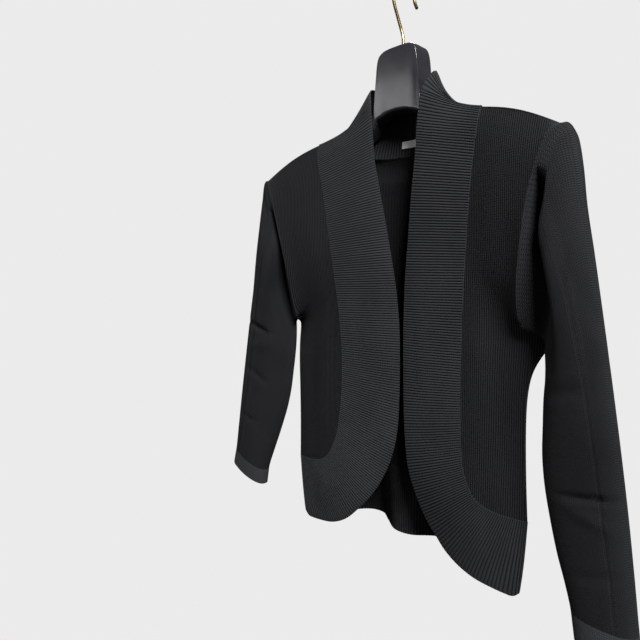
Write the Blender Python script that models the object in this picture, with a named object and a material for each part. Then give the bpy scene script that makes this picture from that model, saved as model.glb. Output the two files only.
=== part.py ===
"""Open-front rib-knit cardigan hanging on a contoured hanger.

Metres, +Z up. The origin is the inside top of the hook, where a rail carries it. The front faces -Y and
+X is the wearer's left. Every cloth piece is a closed wall between its outer points and its inner points.
The tables are in centimetres, for the wearer's left half, with heights counted from the hanger's neck top.
"""

import math

import bpy
import numpy as np

CM = 0.01

# Cloth
WALL = 0.0015
SEAM_GAP = 0.0003
RIB_HEIGHT = 0.0007
LABEL_REACH = 0.95
LABEL_PLACES = (0.37, 0.70)
LABEL_THICKNESS = 0.0006

# Hook
WIRE_RADIUS = 0.00175
FERRULE_RADIUS = 0.0026
FERRULE_HEIGHT = 0.003
HOOK_RISE = 0.070162
NECK_TOP = -0.005

# Grid sizes
NECK_ROWS = 8
FRONT_ROWS = 22
HEM_ROWS = 5
NECK_RIBS = 4
FRONT_RIBS = 6
HEM_RIBS = 6
BAND_COLUMNS = 3
ARMHOLE_STEPS = 9
BACK_HEM_ROWS = BAND_COLUMNS
CUFF_ROWS = 2

# The rib border: its free edge, the seam that joins it to the body, and how far its middle bows out.
# Columns: edge x, y, z, seam x, y, z, bow
BAND_STATIONS = (
    (0.00, 2.75, -4.50, 0.00, 2.00, -12.10, -0.2),
    (2.00, 2.55, -4.45, 3.60, 1.75, -12.00, -0.2),
    (3.60, 1.50, -4.25, 7.00, 0.80, -11.45, -0.4),
    (4.32, 0.15, -4.05, 9.40, -0.35, -10.80, -0.6),
    (4.20, -0.75, -4.50, 10.60, -1.35, -10.00, -0.8),
    (3.55, -1.55, -6.20, 10.95, -2.40, -9.83, -0.8),
    (3.10, -1.75, -9.60, 10.80, -2.90, -11.90, -0.2),
    (2.80, -1.80, -12.90, 10.30, -2.80, -14.80, 0.0),
    (2.10, -1.70, -17.20, 9.80, -2.70, -18.40, 0.2),
    (1.35, -1.60, -22.20, 9.30, -2.60, -22.80, 0.3),
    (0.62, -1.50, -27.50, 8.75, -2.40, -27.60, 0.3),
    (0.30, -1.45, -32.50, 8.35, -2.20, -32.50, 0.3),
    (0.28, -1.45, -38.00, 8.20, -2.10, -37.60, 0.3),
    (0.50, -1.40, -43.60, 8.35, -2.20, -42.00, 0.3),
    (1.20, -1.40, -47.60, 8.65, -2.30, -45.00, 0.3),
    (2.60, -1.35, -50.90, 9.25, -2.35, -47.20, 0.3),
    (4.60, -1.30, -53.80, 10.30, -2.30, -48.95, 0.3),
    (7.20, -1.25, -56.50, 11.70, -2.10, -49.80, 0.3),
    (9.80, -1.20, -57.90, 13.20, -1.85, -50.15, 0.2),
    (12.60, -1.10, -58.40, 14.60, -1.50, -50.30, 0.1),
    (15.40, -1.00, -58.50, 15.90, -1.15, -50.40, 0.0),
)
SHOULDER_STATION = 5
CORNER_STATION = 16
SIDE_STATION = 20

# How far the opening hangs to the wearer's left of the middle. Columns: z, shift
OPENING_SHIFT = (
    (-8.0, 0.0),
    (-17.0, 0.3),
    (-22.0, 0.6),
    (-33.0, 1.0),
    (-44.0, 0.95),
    (-51.0, 0.45),
    (-56.0, 0.0),
)
SHIFT_REACH = 15.5

SHOULDER_RISE = 0.45
SIDE_SEAM_WAIST = 0.25

# Sleeve rings, from the armhole down to the cuff's edge. The outer line runs over the sleeve's head and the
# inner line along its under-seam; the front and back stand off the line between them, and the folds press in.
# Columns: outer x, y, z, inner x, y, z, front depth, front lean, back depth, back lean, front fold, back fold
SLEEVE_RINGS = (
    (19.20, -3.60, -13.25, 15.90, -1.60, -31.60, 1.6, -1.45, 2.6, -0.6, 0.00, 0.0),
    (19.75, -3.60, -13.25, 16.60, -1.55, -31.80, 2.0, -1.15, 2.7, -0.4, 0.00, 0.0),
    (20.15, -3.55, -13.55, 17.25, -1.50, -32.30, 2.0, -0.75, 2.5, -0.2, 0.25, 0.2),
    (20.45, -3.50, -14.15, 17.65, -1.50, -33.10, 2.0, -0.40, 2.3, -0.1, 1.70, 1.0),
    (20.75, -3.40, -15.20, 17.80, -1.50, -34.50, 2.3, -0.10, 2.1, 0.0, 0.40, 0.3),
    (21.00, -3.30, -17.20, 17.80, -1.60, -36.30, 2.4, 0.10, 2.0, 0.0, 0.00, 0.0),
    (21.35, -3.20, -20.20, 17.75, -1.80, -38.20, 2.2, 0.0, 1.9, 0.0, 0.0, 0.0),
    (22.00, -3.10, -24.20, 17.70, -2.00, -40.60, 1.9, 0.0, 1.7, 0.0, 0.0, 0.0),
    (22.80, -3.00, -29.40, 17.80, -2.20, -43.20, 1.7, 0.0, 1.5, 0.0, 0.0, 0.0),
    (23.70, -3.00, -35.20, 18.15, -2.40, -45.90, 1.5, 0.0, 1.3, 0.0, 0.0, 0.0),
    (24.55, -3.00, -41.00, 18.75, -2.60, -48.60, 1.4, 0.0, 1.2, 0.0, 0.0, 0.0),
    (25.30, -3.00, -46.60, 19.50, -2.80, -51.40, 1.4, 0.0, 1.2, 0.0, 0.0, 0.0),
    (25.90, -3.00, -51.80, 20.35, -2.90, -54.00, 1.5, 0.0, 1.3, 0.0, 0.0, 0.0),
    (26.40, -3.00, -56.40, 20.95, -3.00, -56.10, 1.6, 0.0, 1.4, 0.0, 0.0, 0.0),
    (26.80, -3.00, -58.95, 21.30, -3.00, -58.55, 1.6, 0.0, 1.4, 0.0, 0.0, 0.0),
)
CUFF_SEAM_RING = 13
RIGHT_SLEEVE_LENGTH = 0.874
RIGHT_SLEEVE_SWING = 1.8
RIGHT_ELBOW_BEND = 0.8

# The back's distance behind the middle plane. Columns: x, y at the neck's height, at the waist, at the hem
BACK_SECTIONS = (
    (-1.00, 0.0, -1.0, -1.0),
    (-0.80, 0.3, 0.4, 1.9),
    (-0.62, 1.1, 1.3, 5.4),
    (-0.45, 1.7, 1.9, 5.7),
    (-0.30, 1.9, 2.3, 3.9),
    (-0.15, 2.0, 2.6, 2.1),
    (0.00, 2.0, 2.7, 2.1),
    (0.15, 2.0, 2.6, 3.9),
    (0.35, 1.8, 2.2, 4.7),
    (0.60, 1.2, 1.4, 3.6),
    (0.80, 0.3, 0.4, 1.6),
    (1.00, 0.0, -1.0, -1.0),
)
BACK_HEM_LIFT = 0.9

# The hanger's arm. Columns: x, middle y, top z, bottom z, half depth
HANGER_SECTIONS = (
    (0.00, 0.00, -0.50, -7.60, 1.40),
    (1.20, 0.00, -0.53, -7.70, 1.40),
    (2.05, 0.00, -0.72, -7.95, 1.40),
    (2.60, 0.00, -1.35, -8.10, 1.38),
    (2.90, 0.00, -3.60, -8.25, 1.36),
    (3.20, 0.00, -6.60, -8.60, 1.34),
    (3.80, -0.05, -7.90, -9.40, 1.28),
    (5.00, -0.35, -9.20, -10.60, 1.00),
    (6.00, -0.60, -10.00, -11.10, 0.90),
    (7.00, -0.82, -10.55, -11.60, 0.80),
    (8.50, -1.10, -11.15, -12.30, 0.85),
    (10.00, -1.25, -11.40, -12.90, 0.95),
    (13.00, -1.75, -11.45, -14.10, 1.08),
    (16.00, -2.40, -12.65, -15.30, 1.03),
    (18.20, -3.05, -13.95, -16.00, 0.80),
)

# The hook wire's centre line in its plane, from its foot over the round top to its tip. Columns: x, z
HOOK_LINE = (
    (0.00, -0.17),
    (0.00, 0.55),
    (-0.11, 1.10),
    (-0.45, 2.20),
    (-0.83, 3.40),
    (-1.23, 4.70),
    (-1.40, 5.60),
    (-1.24, 6.45),
    (-0.74, 7.02),
    (0.00, 7.191),
    (0.74, 7.02),
    (1.20, 6.45),
    (1.38, 5.60),
    (1.44, 4.70),
    (1.56, 3.95),
    (1.84, 3.26),
)


def clear_scene():
    """Removes every object, so that only this part is left."""
    for thing in list(bpy.data.objects):
        bpy.data.objects.remove(thing, do_unlink=True)


def smooth_rows(table, places):
    """The table's rows read at fractional row numbers, on a smooth curve through every row."""
    rows = np.asarray(table, float)
    places = np.atleast_1d(np.asarray(places, float))
    last = len(rows) - 1
    lower = np.clip(np.floor(places).astype(int), 0, last - 1)
    part = (places - lower)[:, None]
    before = rows[np.clip(lower - 1, 0, last)]
    here = rows[lower]
    after = rows[lower + 1]
    beyond = rows[np.clip(lower + 2, 0, last)]
    start = (after - before) / 2
    end = (beyond - here) / 2
    return (
        here * (2 * part**3 - 3 * part**2 + 1)
        + start * (part**3 - 2 * part**2 + part)
        + after * (3 * part**2 - 2 * part**3)
        + end * (part**3 - part**2)
    )


def smooth_value(table, column, where):
    """One column of a table as a smooth function of its first column."""
    keys = np.asarray(table, float)[:, 0]
    places = np.interp(where, keys, np.arange(len(keys))) if keys[0] < keys[-1] else None
    if places is None:
        places = np.interp(-np.asarray(where, float), -keys, np.arange(len(keys)))
    return smooth_rows(table, places)[:, column]


def even_places(first, last, steps):
    """Row numbers from first to last of the border's table, evenly spaced along its middle line."""
    places = np.linspace(first, last, 400)
    rows = smooth_rows(BAND_STATIONS, places)
    middle = (rows[:, 0:3] + rows[:, 3:6]) / 2
    lengths = np.concatenate([[0.0], np.cumsum(np.linalg.norm(np.diff(middle, axis=0), axis=1))])
    return np.interp(np.linspace(0.0, lengths[-1], steps + 1), lengths, places)


def lowered(points):
    """Centimetres with heights from the neck top, as metres from the hook's inside top."""
    return np.asarray(points, float) * CM + np.array([0.0, 0.0, -HOOK_RISE])


def unit(vectors):
    """The vectors at length one."""
    lengths = np.linalg.norm(vectors, axis=-1, keepdims=True)
    return vectors / np.maximum(lengths, 1e-12)


def hang_to_side(points, side):
    """Turns a left-half grid to its side, and lets the opening hang a little to the wearer's left."""
    shifted = points.copy()
    shift = smooth_value(OPENING_SHIFT, 1, points[..., 2].ravel()).reshape(points.shape[:-1])
    weight = np.clip(1 - (points[..., 0] / SHIFT_REACH) ** 2, 0, 1)
    shifted[..., 0] = side * points[..., 0] + shift * weight
    return shifted


def band_grid(side):
    """Border points, a row for each few ribs from the middle of the back neck to the side seam."""
    places = np.concatenate(
        [
            even_places(0, SHOULDER_STATION, NECK_ROWS),
            even_places(SHOULDER_STATION, CORNER_STATION, FRONT_ROWS)[1:],
            even_places(CORNER_STATION, SIDE_STATION, HEM_ROWS)[1:],
        ]
    )
    rows = smooth_rows(BAND_STATIONS, places)
    edge = rows[:, 0:3]
    seam = rows[:, 3:6]
    along = np.gradient((edge + seam) / 2, axis=0)
    out = unit(np.cross(along, seam - edge))
    across = np.linspace(0.0, 1.0, BAND_COLUMNS + 1)
    grid = np.stack([edge + (seam - edge) * part for part in across], axis=1)
    for column, part in enumerate(across):
        grid[:, column] += out * (rows[:, 6:7] * math.sin(math.pi * part))
    grid[0, :, 0] = 0.0
    return hang_to_side(grid, side)


def ring_row(row, angle):
    """Points of one sleeve ring, from its outer line at angle 0 round its front to the inner line at pi."""
    outer = row[0:3]
    inner = row[3:6]
    middle = (outer + inner) / 2
    turn = np.asarray(angle, float)[:, None]
    front = (np.sin(turn) >= 0).astype(float)
    swell = np.abs(np.sin(turn)) ** 0.8
    height = np.cos(turn)
    window = np.clip((0.80 - height) / 0.35, 0, 1) * np.clip((height + 1.0) / 0.30, 0, 1)
    lean = front * row[7] + (1 - front) * row[9]
    depth = front * row[6] - (1 - front) * row[8]
    fold = (front * row[10] - (1 - front) * row[11]) * window
    points = middle + (outer - middle) * height
    points[:, 0:1] += lean * swell
    points[:, 1:2] += fold * swell - depth * swell
    return points


def ring_angles():
    """The angles of a ring's points, the same number on its front as on its back."""
    front = half_angles()
    return np.concatenate([front[:-1], 2 * math.pi - front[:0:-1]])


def half_angles():
    """The angles from a ring's outer line to its inner line, their heights nearly evenly spaced."""
    places = np.linspace(0.0, 1.0, ARMHOLE_STEPS + 1)
    return (math.pi * places + np.arccos(1 - 2 * places)) / 2


def sleeve_table(side):
    """The ring table of one sleeve: the wearer's right one hangs shorter, its elbow creased up."""
    rings = np.asarray(SLEEVE_RINGS, float).copy()
    if side > 0:
        return rings
    armhole = rings[0]
    for line in (slice(0, 3), slice(3, 6)):
        drop = rings[:, line][:, 2] - armhole[line][2]
        rings[:, line.start + 2] = armhole[line][2] + drop * RIGHT_SLEEVE_LENGTH
    fall = np.linspace(0.0, 1.0, len(rings))
    rings[:, 0] += RIGHT_SLEEVE_SWING * fall**3
    rings[:, 1] += 0.8 * fall**2
    rings[:, 3] -= RIGHT_ELBOW_BEND * np.sin(math.pi * fall) ** 2
    return rings


def mirrored(points, side):
    """The points, on their own side of the middle."""
    return points * np.array([side, 1.0, 1.0])


def sleeve_grid(side):
    """Sleeve rings from the armhole to the cuff's seam."""
    rings = sleeve_table(side)[: CUFF_SEAM_RING + 1]
    return mirrored(np.stack([ring_row(row, ring_angles()) for row in rings]), side)


def cuff_grid(side):
    """Cuff rings, from the sleeve's last ring to the open edge."""
    table = sleeve_table(side)
    places = np.linspace(0.0, 1.0, CUFF_ROWS + 1)[:, None]
    rings = table[CUFF_SEAM_RING] + (table[-1] - table[CUFF_SEAM_RING]) * places
    return mirrored(np.stack([ring_row(row, ring_angles()) for row in rings]), side)


def armhole_edge(front):
    """The armhole's points from the shoulder tip to the underarm, down its front or its back."""
    angles = half_angles() if front else 2 * math.pi - half_angles()
    points = ring_row(np.asarray(SLEEVE_RINGS[0], float), angles)
    points[0] = SLEEVE_RINGS[0][0:3]
    points[-1] = SLEEVE_RINGS[0][3:6]
    return points


def side_edge(armhole):
    """A body panel's outer edge: the armhole, then the side seam down to the hem border."""
    steps = FRONT_ROWS - ARMHOLE_STEPS
    top = armhole[-1]
    bottom = np.array(BAND_STATIONS[SIDE_STATION][3:6])
    places = np.linspace(0.0, 1.0, steps + 1)[1:, None]
    seam = top + (bottom - top) * places
    seam[:, 0:1] -= SIDE_SEAM_WAIST * np.sin(math.pi * places)
    return np.concatenate([armhole, seam])


def shoulder_edge():
    """The shoulder seam from the border out to the sleeve, lightly raised in its middle."""
    start = np.array(BAND_STATIONS[SHOULDER_STATION][3:6])
    end = np.array(SLEEVE_RINGS[0][0:3])
    places = np.linspace(0.0, 1.0, HEM_ROWS + 1)[:, None]
    seam = start + (end - start) * places
    seam[:, 2:3] += SHOULDER_RISE * np.sin(math.pi * places)
    return seam


def blend_edges(left, right, top, bottom):
    """A grid whose four edges are the four given lines, blended evenly inside."""
    down = np.linspace(0.0, 1.0, len(left))[:, None, None]
    across = np.linspace(0.0, 1.0, len(top))[None, :, None]
    sides = left[:, None] * (1 - across) + right[:, None] * across
    ends = top[None] * (1 - down) + bottom[None] * down
    corners = (
        (1 - down) * ((1 - across) * top[0] + across * top[-1])
        + down * ((1 - across) * bottom[0] + across * bottom[-1])
    )
    return sides + ends - corners


def front_grid(side, band):
    """A front panel between the border's seam, the shoulder, the armhole with the side seam, and the hem seam."""
    seam = band[:, -1]
    corner = NECK_ROWS + FRONT_ROWS
    right = mirrored(side_edge(armhole_edge(front=True)), side)
    top = mirrored(shoulder_edge(), side)
    top[0] = seam[NECK_ROWS]
    right[-1] = seam[-1]
    return blend_edges(seam[NECK_ROWS : corner + 1], right, top, seam[corner:])


def back_depth(across, low):
    """The back's y, by its place across from -1 to 1 and down from 0 at the neck to 1 at the hem."""
    neck = smooth_value(BACK_SECTIONS, 1, across)
    waist = smooth_value(BACK_SECTIONS, 2, across)
    hem = smooth_value(BACK_SECTIONS, 3, across)
    upper = np.clip(low / 0.45, 0, 1)
    lower = np.clip((low - 0.45) / 0.55, 0, 1) ** 1.6
    return (neck * (1 - upper) + waist * upper) * (1 - lower) + hem * lower


def back_grid(bands):
    """The back panel, from the shoulders and back neck to the hem border's seam."""
    shoulder = shoulder_edge()[:0:-1]
    left_neck = bands[1][: NECK_ROWS + 1, -1]
    right_neck = bands[-1][: NECK_ROWS + 1, -1]
    top = np.concatenate([mirrored(shoulder, -1), right_neck[::-1], left_neck[1:], shoulder[::-1]])
    edge = side_edge(armhole_edge(front=False))
    count = len(top) - 1
    across = np.linspace(-1.0, 1.0, count + 1)
    width = edge[-1][0]
    bottom = np.stack(
        [
            across * width,
            back_depth(across, np.full(count + 1, 0.85)),
            edge[-1][2] + BACK_HEM_LIFT * (1 - across**2),
        ],
        axis=1,
    )
    bottom[0] = mirrored(edge, -1)[-1]
    bottom[-1] = edge[-1]
    grid = blend_edges(mirrored(edge, -1), edge, top, bottom)
    height = np.linspace(0.0, 1.0, len(edge))
    for row in range(1, len(edge) - 1):
        place = grid[row, :, 0] / edge[row][0]
        depth = back_depth(place, np.full(count + 1, 0.85 * height[row]))
        ease = min(height[row] / 0.08, 1.0) ** 0.5
        inside = np.clip((1 - np.abs(place)) / 0.2, 0, 1)
        grid[row, :, 1] += (depth - grid[row, :, 1]) * ease * inside
    return grid


def back_hem_grid(back):
    """The hem border under the back panel, hanging in the same flutes a little deeper."""
    top = back[-1]
    across = top[:, 0] / top[-1, 0]
    end = np.array(BAND_STATIONS[SIDE_STATION][0:3])
    bottom = np.stack(
        [across * end[0], back_depth(across, np.ones(len(top))), end[2] + BACK_HEM_LIFT * (1 - across**2)],
        axis=1,
    )
    bottom[0] = mirrored(end, -1)
    bottom[-1] = end
    places = np.linspace(0.0, 1.0, BACK_HEM_ROWS + 1)[:, None, None]
    grid = top[None] + (bottom - top)[None] * places
    return grid.transpose(1, 0, 2)


def grid_normals(grid, facing, closed):
    """Unit normals of a grid of points; facing is 1 or -1, so that they point out of the garment."""
    wide = np.concatenate([grid, grid[:, :1]], axis=1) if closed else grid
    cells = unit(np.cross(wide[1:, 1:] - wide[:-1, :-1], wide[:-1, 1:] - wide[1:, :-1]))
    if closed:
        cells = cells + np.roll(cells, 1, axis=1)
    else:
        ends = np.zeros_like(cells[:, :1])
        cells = np.concatenate([cells, ends], axis=1) + np.concatenate([ends, cells], axis=1)
    ends = np.zeros_like(cells[:1])
    return unit(np.concatenate([cells, ends]) + np.concatenate([ends, cells])) * facing


def place_key(point):
    """A point's rounded place, the same for every panel that meets there."""
    return tuple(np.round(point / CM * 10, 2))


class Panel:
    """One cloth piece: its grid of outer points, the way it faces and the ribs between its rows."""

    def __init__(self, name, grid, facing, closed=False, ribs=None):
        self.name = name
        self.grid = lowered(grid)
        self.facing = facing
        self.closed = closed
        self.ribs = ribs
        self.normals = grid_normals(self.grid, facing, closed)

    def borders(self):
        """Row and column numbers of the points on the panel's edges."""
        rows, columns = self.grid.shape[:2]
        for row in range(rows):
            for column in range(columns):
                on_end = row in (0, rows - 1)
                on_side = not self.closed and column in (0, columns - 1)
                if on_end or on_side:
                    yield row, column

    def away_from_seam(self, row, column, normal):
        """The step that leaves half a seam gap at each edge this point is on."""
        rows, columns = self.grid.shape[:2]
        here = self.grid[row, column]
        step = np.zeros(3)
        if row in (0, rows - 1):
            inward = self.grid[1 if row == 0 else row - 1, column] - here
            after = self.grid[row, (column + 1) % columns if self.closed else min(column + 1, columns - 1)]
            before = self.grid[row, column - 1 if self.closed else max(column - 1, 0)]
            step += step_inward(inward, after - here, before - here, normal)
        if not self.closed and column in (0, columns - 1):
            inward = self.grid[row, 1 if column == 0 else column - 1] - here
            after = self.grid[min(row + 1, rows - 1), column] - here
            before = self.grid[max(row - 1, 0), column] - here
            step += step_inward(inward, after, before, normal)
        return step * SEAM_GAP / 2

    def walls(self, shared):
        """Outer and inner points, thickened along the shared normals at the seams."""
        outer = self.grid.copy()
        normals = self.normals.copy()
        for row, column in self.borders():
            normal = unit(shared[place_key(self.grid[row, column])])
            normals[row, column] = normal
            outer[row, column] += self.away_from_seam(row, column, normal)
        return outer, outer - normals * WALL, normals


def step_inward(inward, after, before, normal):
    """The direction into a panel from its edge: square to a smooth edge, halfway across a kinked one."""
    after = unit(after)
    before = unit(before)
    if np.dot(after, before) < -0.8 or not before.any() or not after.any():
        along = unit(after - before)
        inward = inward - along * np.dot(inward, along)
    else:
        inward = unit(inward) + after + before
    return unit(inward - normal * np.dot(inward, normal))


def shared_normals(panels):
    """The sum of the normals of all the panels that meet at each edge point."""
    shared = {}
    for panel in panels:
        for row, column in panel.borders():
            key = place_key(panel.grid[row, column])
            shared[key] = shared.get(key, np.zeros(3)) + panel.normals[row, column]
    underarm = np.array(SLEEVE_RINGS[0][3:6])
    for side in (1, -1):
        shared[place_key(lowered(mirrored(underarm, side)))] = np.array([0.6 * side, 0.0, -0.8])
    return shared


def ribbed(outer, normals, ribs):
    """The outer rows with ribs raised between them: a groove at each row and a ridge between grooves."""
    rows = []
    for start, count in enumerate(ribs):
        for step in range(2 * count):
            part = step / (2 * count)
            points = outer[start] * (1 - part) + outer[start + 1] * part
            out = unit(normals[start] * (1 - part) + normals[start + 1] * part)
            rows.append(points + out * (RIB_HEIGHT * (step % 2)))
    rows.append(outer[-1])
    return np.stack(rows)


def wall_faces(grid, steps, closed):
    """Faces of a wall: outer points first, inner points after them, then the strips that join their edges."""
    inner_rows, columns = grid.shape[:2]
    starts = np.concatenate([[0], np.cumsum(steps)])
    outer_rows = starts[-1] + 1
    offset = outer_rows * columns
    spans = columns if closed else columns - 1
    faces = []
    for row in range(outer_rows - 1):
        for column in range(spans):
            near = row * columns + column
            far = row * columns + (column + 1) % columns
            faces.append((near, near + columns, far + columns, far))
    for row in range(inner_rows - 1):
        for column in range(spans):
            near = offset + row * columns + column
            far = offset + row * columns + (column + 1) % columns
            faces.append((near, far, far + columns, near + columns))
    for row, outer_start in ((0, 0), (inner_rows - 1, offset - columns)):
        inner_start = offset + row * columns
        for column in range(spans):
            far = (column + 1) % columns
            leads = place_key(grid[row, column]) < place_key(grid[row, far])
            rim = [outer_start + column, outer_start + far]
            strip = rim_strip(rim, inner_start + column, inner_start + far, leads)
            faces += strip if row else [face[::-1] for face in strip]
    if closed:
        return faces
    for column in (0, columns - 1):
        for span, count in enumerate(steps):
            first = offset + span * columns + column
            leads = place_key(grid[span, column]) < place_key(grid[span + 1, column])
            rim = [(starts[span] + step) * columns + column for step in range(count + 1)]
            strip = rim_strip(rim, first, first + columns, leads)
            faces += [face[::-1] for face in strip] if column else strip
    return faces


def rim_strip(rim, first, second, leads):
    """Faces between an outer edge and the two inner points beside it, split alike on both sides of a seam.

    Each rib's end is capped on its own, so that the wall under it is flat.
    """
    grooves = rim[::2] if len(rim) > 2 else rim
    strip = [(rim[step + 2], rim[step + 1], rim[step]) for step in range(0, len(rim) - 2, 2)]
    anchor = first if leads else second
    for near, far in zip(grooves[:-1], grooves[1:]):
        strip.append((anchor, far, near))
    strip.append((first, second, grooves[-1] if leads else grooves[0]))
    return strip


def split_quad(quad, points):
    """Two triangles of a four-sided face, along the diagonal that makes it bulge outward."""
    a, b, c, d = quad
    out = np.cross(points[c] - points[a], points[d] - points[b])
    if np.dot(points[a] + points[c] - points[b] - points[d], out) > 0:
        return [(a, b, c), (a, c, d)]
    return [(a, b, d), (b, c, d)]


def make_mesh(name, points, faces, facing):
    """A mesh object of the points and faces, turned so that its faces point out."""
    mesh = bpy.data.meshes.new(name)
    turned = faces if facing > 0 else [face[::-1] for face in faces]
    split = []
    for face in turned:
        split += split_quad(face, points) if len(face) == 4 else [face]
    mesh.from_pydata([tuple(point) for point in points], [], [tuple(map(int, face)) for face in split])
    mesh.validate()
    mesh.update()
    mesh.shade_smooth()
    mesh.set_sharp_from_angle(angle=math.radians(50))
    return bpy.data.objects.new(name, mesh)


def cloth_object(panel, shared):
    """The closed wall of one panel, with its ribs on the outside over a plain inside."""
    outer, inner, normals = panel.walls(shared)
    steps = [1] * (len(outer) - 1)
    if panel.ribs:
        outer = ribbed(outer, normals, panel.ribs)
        steps = [2 * count for count in panel.ribs]
    faces = wall_faces(panel.grid, steps, panel.closed)
    points = np.concatenate([outer.reshape(-1, 3), inner.reshape(-1, 3)])
    return make_mesh(panel.name, points, faces, panel.facing)


def make_panels():
    """Every knitted piece of the garment."""
    bands = {side: band_grid(side) for side in (1, -1)}
    back = back_grid(bands)
    band_ribs = [NECK_RIBS] * NECK_ROWS + [FRONT_RIBS] * FRONT_ROWS + [HEM_RIBS] * HEM_ROWS
    hem = back_hem_grid(back)
    panels = [
        Panel("back", back, -1),
        Panel("band_back_hem", hem, 1, ribs=[4] * (len(hem) - 1)),
    ]
    for side, word in ((1, "left"), (-1, "right")):
        panels += [
            Panel("band_" + word, bands[side], side, ribs=band_ribs),
            Panel("front_" + word, front_grid(side, bands[side]), side),
            Panel("sleeve_" + word, sleeve_grid(side), -side, closed=True),
            Panel("cuff_" + word, cuff_grid(side), -side, closed=True),
        ]
    return panels


def label_object(panels, shared):
    """The plain label strip, laid inside the collar across its middle seam, just above the neck seam."""
    inner = {panel.name: panel.walls(shared)[1] for panel in panels if panel.name.startswith("band_")}
    lines = []
    for down in LABEL_PLACES:
        points = []
        for reach in np.linspace(-LABEL_REACH, LABEL_REACH, 5):
            rows = inner["band_left" if reach >= 0 else "band_right"]
            ends = rows[0] * (1 - abs(reach)) + rows[1] * abs(reach)
            points.append(ends[-2] * (1 - down) + ends[-1] * down)
        lines.append(points)
    near = np.array(lines) + np.array([0.0, -2 * SEAM_GAP, 0.0])
    far = near + np.array([0.0, -LABEL_THICKNESS, 0.0])
    faces = wall_faces(near, [1], False)
    points = np.concatenate([far.reshape(-1, 3), near.reshape(-1, 3)])
    return make_mesh("neck_label", points, faces, 1)


def hanger_section(row):
    """A rounded box across the hanger's arm: x, middle y, top and bottom z, half depth."""
    across, middle, top, bottom, depth = row
    height = top - bottom
    corner = min(0.35, height / 4, depth / 3)
    outline = []
    for angle in np.radians([90, 60, 30, 0]):
        outline.append((depth - corner + corner * math.cos(angle), top - corner + corner * math.sin(angle)))
    for angle in np.radians([0, -45, -90]):
        outline.append((depth - corner + corner * math.cos(angle), bottom + corner + corner * math.sin(angle)))
    outline += [(-y, z) for y, z in outline[::-1]]
    return [(across, middle + y, z) for y, z in outline]


def hanger_object():
    """The moulded hanger: a tall neck and two broad arms that sweep down and forward."""
    right = np.asarray(HANGER_SECTIONS, float)[:0:-1] * np.array([-1.0, 1.0, 1.0, 1.0, 1.0])
    table = np.concatenate([right, np.asarray(HANGER_SECTIONS, float)])
    grid = lowered(np.stack([hanger_section(row) for row in table]))
    sections, count = grid.shape[:2]
    faces = []
    for section in range(sections - 1):
        for point in range(count):
            near = section * count + point
            far = section * count + (point + 1) % count
            faces.append((near, far, far + count, near + count))
    faces.append(tuple(range(count))[::-1])
    faces.append(tuple(range((sections - 1) * count, sections * count)))
    return make_mesh("hanger_body", grid.reshape(-1, 3), faces, -1)


def hook_route():
    """The hook wire's centre line: stem, leaning leg, round top and tip."""
    line = smooth_rows(HOOK_LINE, np.linspace(0, len(HOOK_LINE) - 1, 2 * len(HOOK_LINE) - 1))
    return [tuple(point) for point in lowered(np.insert(line, 1, 0.0, axis=1))]


def hook_object():
    """The brass wire hook."""
    curve = bpy.data.curves.new("hanger_hook", "CURVE")
    curve.dimensions = "3D"
    curve.bevel_depth = WIRE_RADIUS
    curve.bevel_resolution = 2
    curve.use_fill_caps = True
    route = hook_route()
    spline = curve.splines.new("POLY")
    spline.points.add(len(route) - 1)
    for point, place in zip(spline.points, route):
        point.co = (*place, 1.0)
    return bpy.data.objects.new("hanger_hook", curve)


def ferrule_object():
    """The small black collar where the wire enters the hanger's neck."""
    bpy.ops.mesh.primitive_cylinder_add(
        vertices=16,
        radius=FERRULE_RADIUS,
        depth=FERRULE_HEIGHT - SEAM_GAP,
        location=(0.0, 0.0, NECK_TOP - HOOK_RISE + (FERRULE_HEIGHT + SEAM_GAP) / 2),
    )
    ferrule = bpy.context.object
    ferrule.name = "hook_ferrule"
    return ferrule


def finish(thing, colour, roughness, metallic):
    """Gives an object its own material."""
    material = bpy.data.materials.new(thing.name)
    material.use_nodes = True
    shader = material.node_tree.nodes["Principled BSDF"]
    shader.inputs["Base Color"].default_value = (*colour, 1.0)
    shader.inputs["Roughness"].default_value = roughness
    shader.inputs["Metallic"].default_value = metallic
    thing.data.materials.append(material)


def main():
    clear_scene()
    collection = bpy.data.collections.new("cardigan")
    bpy.context.scene.collection.children.link(collection)
    panels = make_panels()
    shared = shared_normals(panels)
    knit = [cloth_object(panel, shared) for panel in panels]
    for thing in knit:
        finish(thing, (0.022, 0.024, 0.025), 0.9, 0.0)
    label = label_object(panels, shared)
    finish(label, (0.8, 0.8, 0.78), 0.8, 0.0)
    hanger = hanger_object()
    finish(hanger, (0.02, 0.02, 0.024), 0.25, 0.0)
    hook = hook_object()
    finish(hook, (0.55, 0.44, 0.2), 0.25, 1.0)
    ferrule = ferrule_object()
    finish(ferrule, (0.02, 0.02, 0.02), 0.4, 0.0)
    for thing in [*knit, label, hanger, hook, ferrule]:
        for owner in list(thing.users_collection):
            owner.objects.unlink(thing)
        collection.objects.link(thing)


main()
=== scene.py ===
# %% [markdown]
# # An open-front rib-knit cardigan on a hanger
# The garment hangs from a hook. Its knitted pieces are thin, soft sheets, so each one is modelled here as a
# fine grid that is laid on the form of its panel, given its ribs and creases, and then thickened into
# cloth. The hanger and its hook are hard, so they are rebuilt with more faces and their own finishes.

# %% Load the hard frame that everything is fitted to
import math

import bpy
import numpy as np
from mathutils import Matrix, Vector


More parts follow.
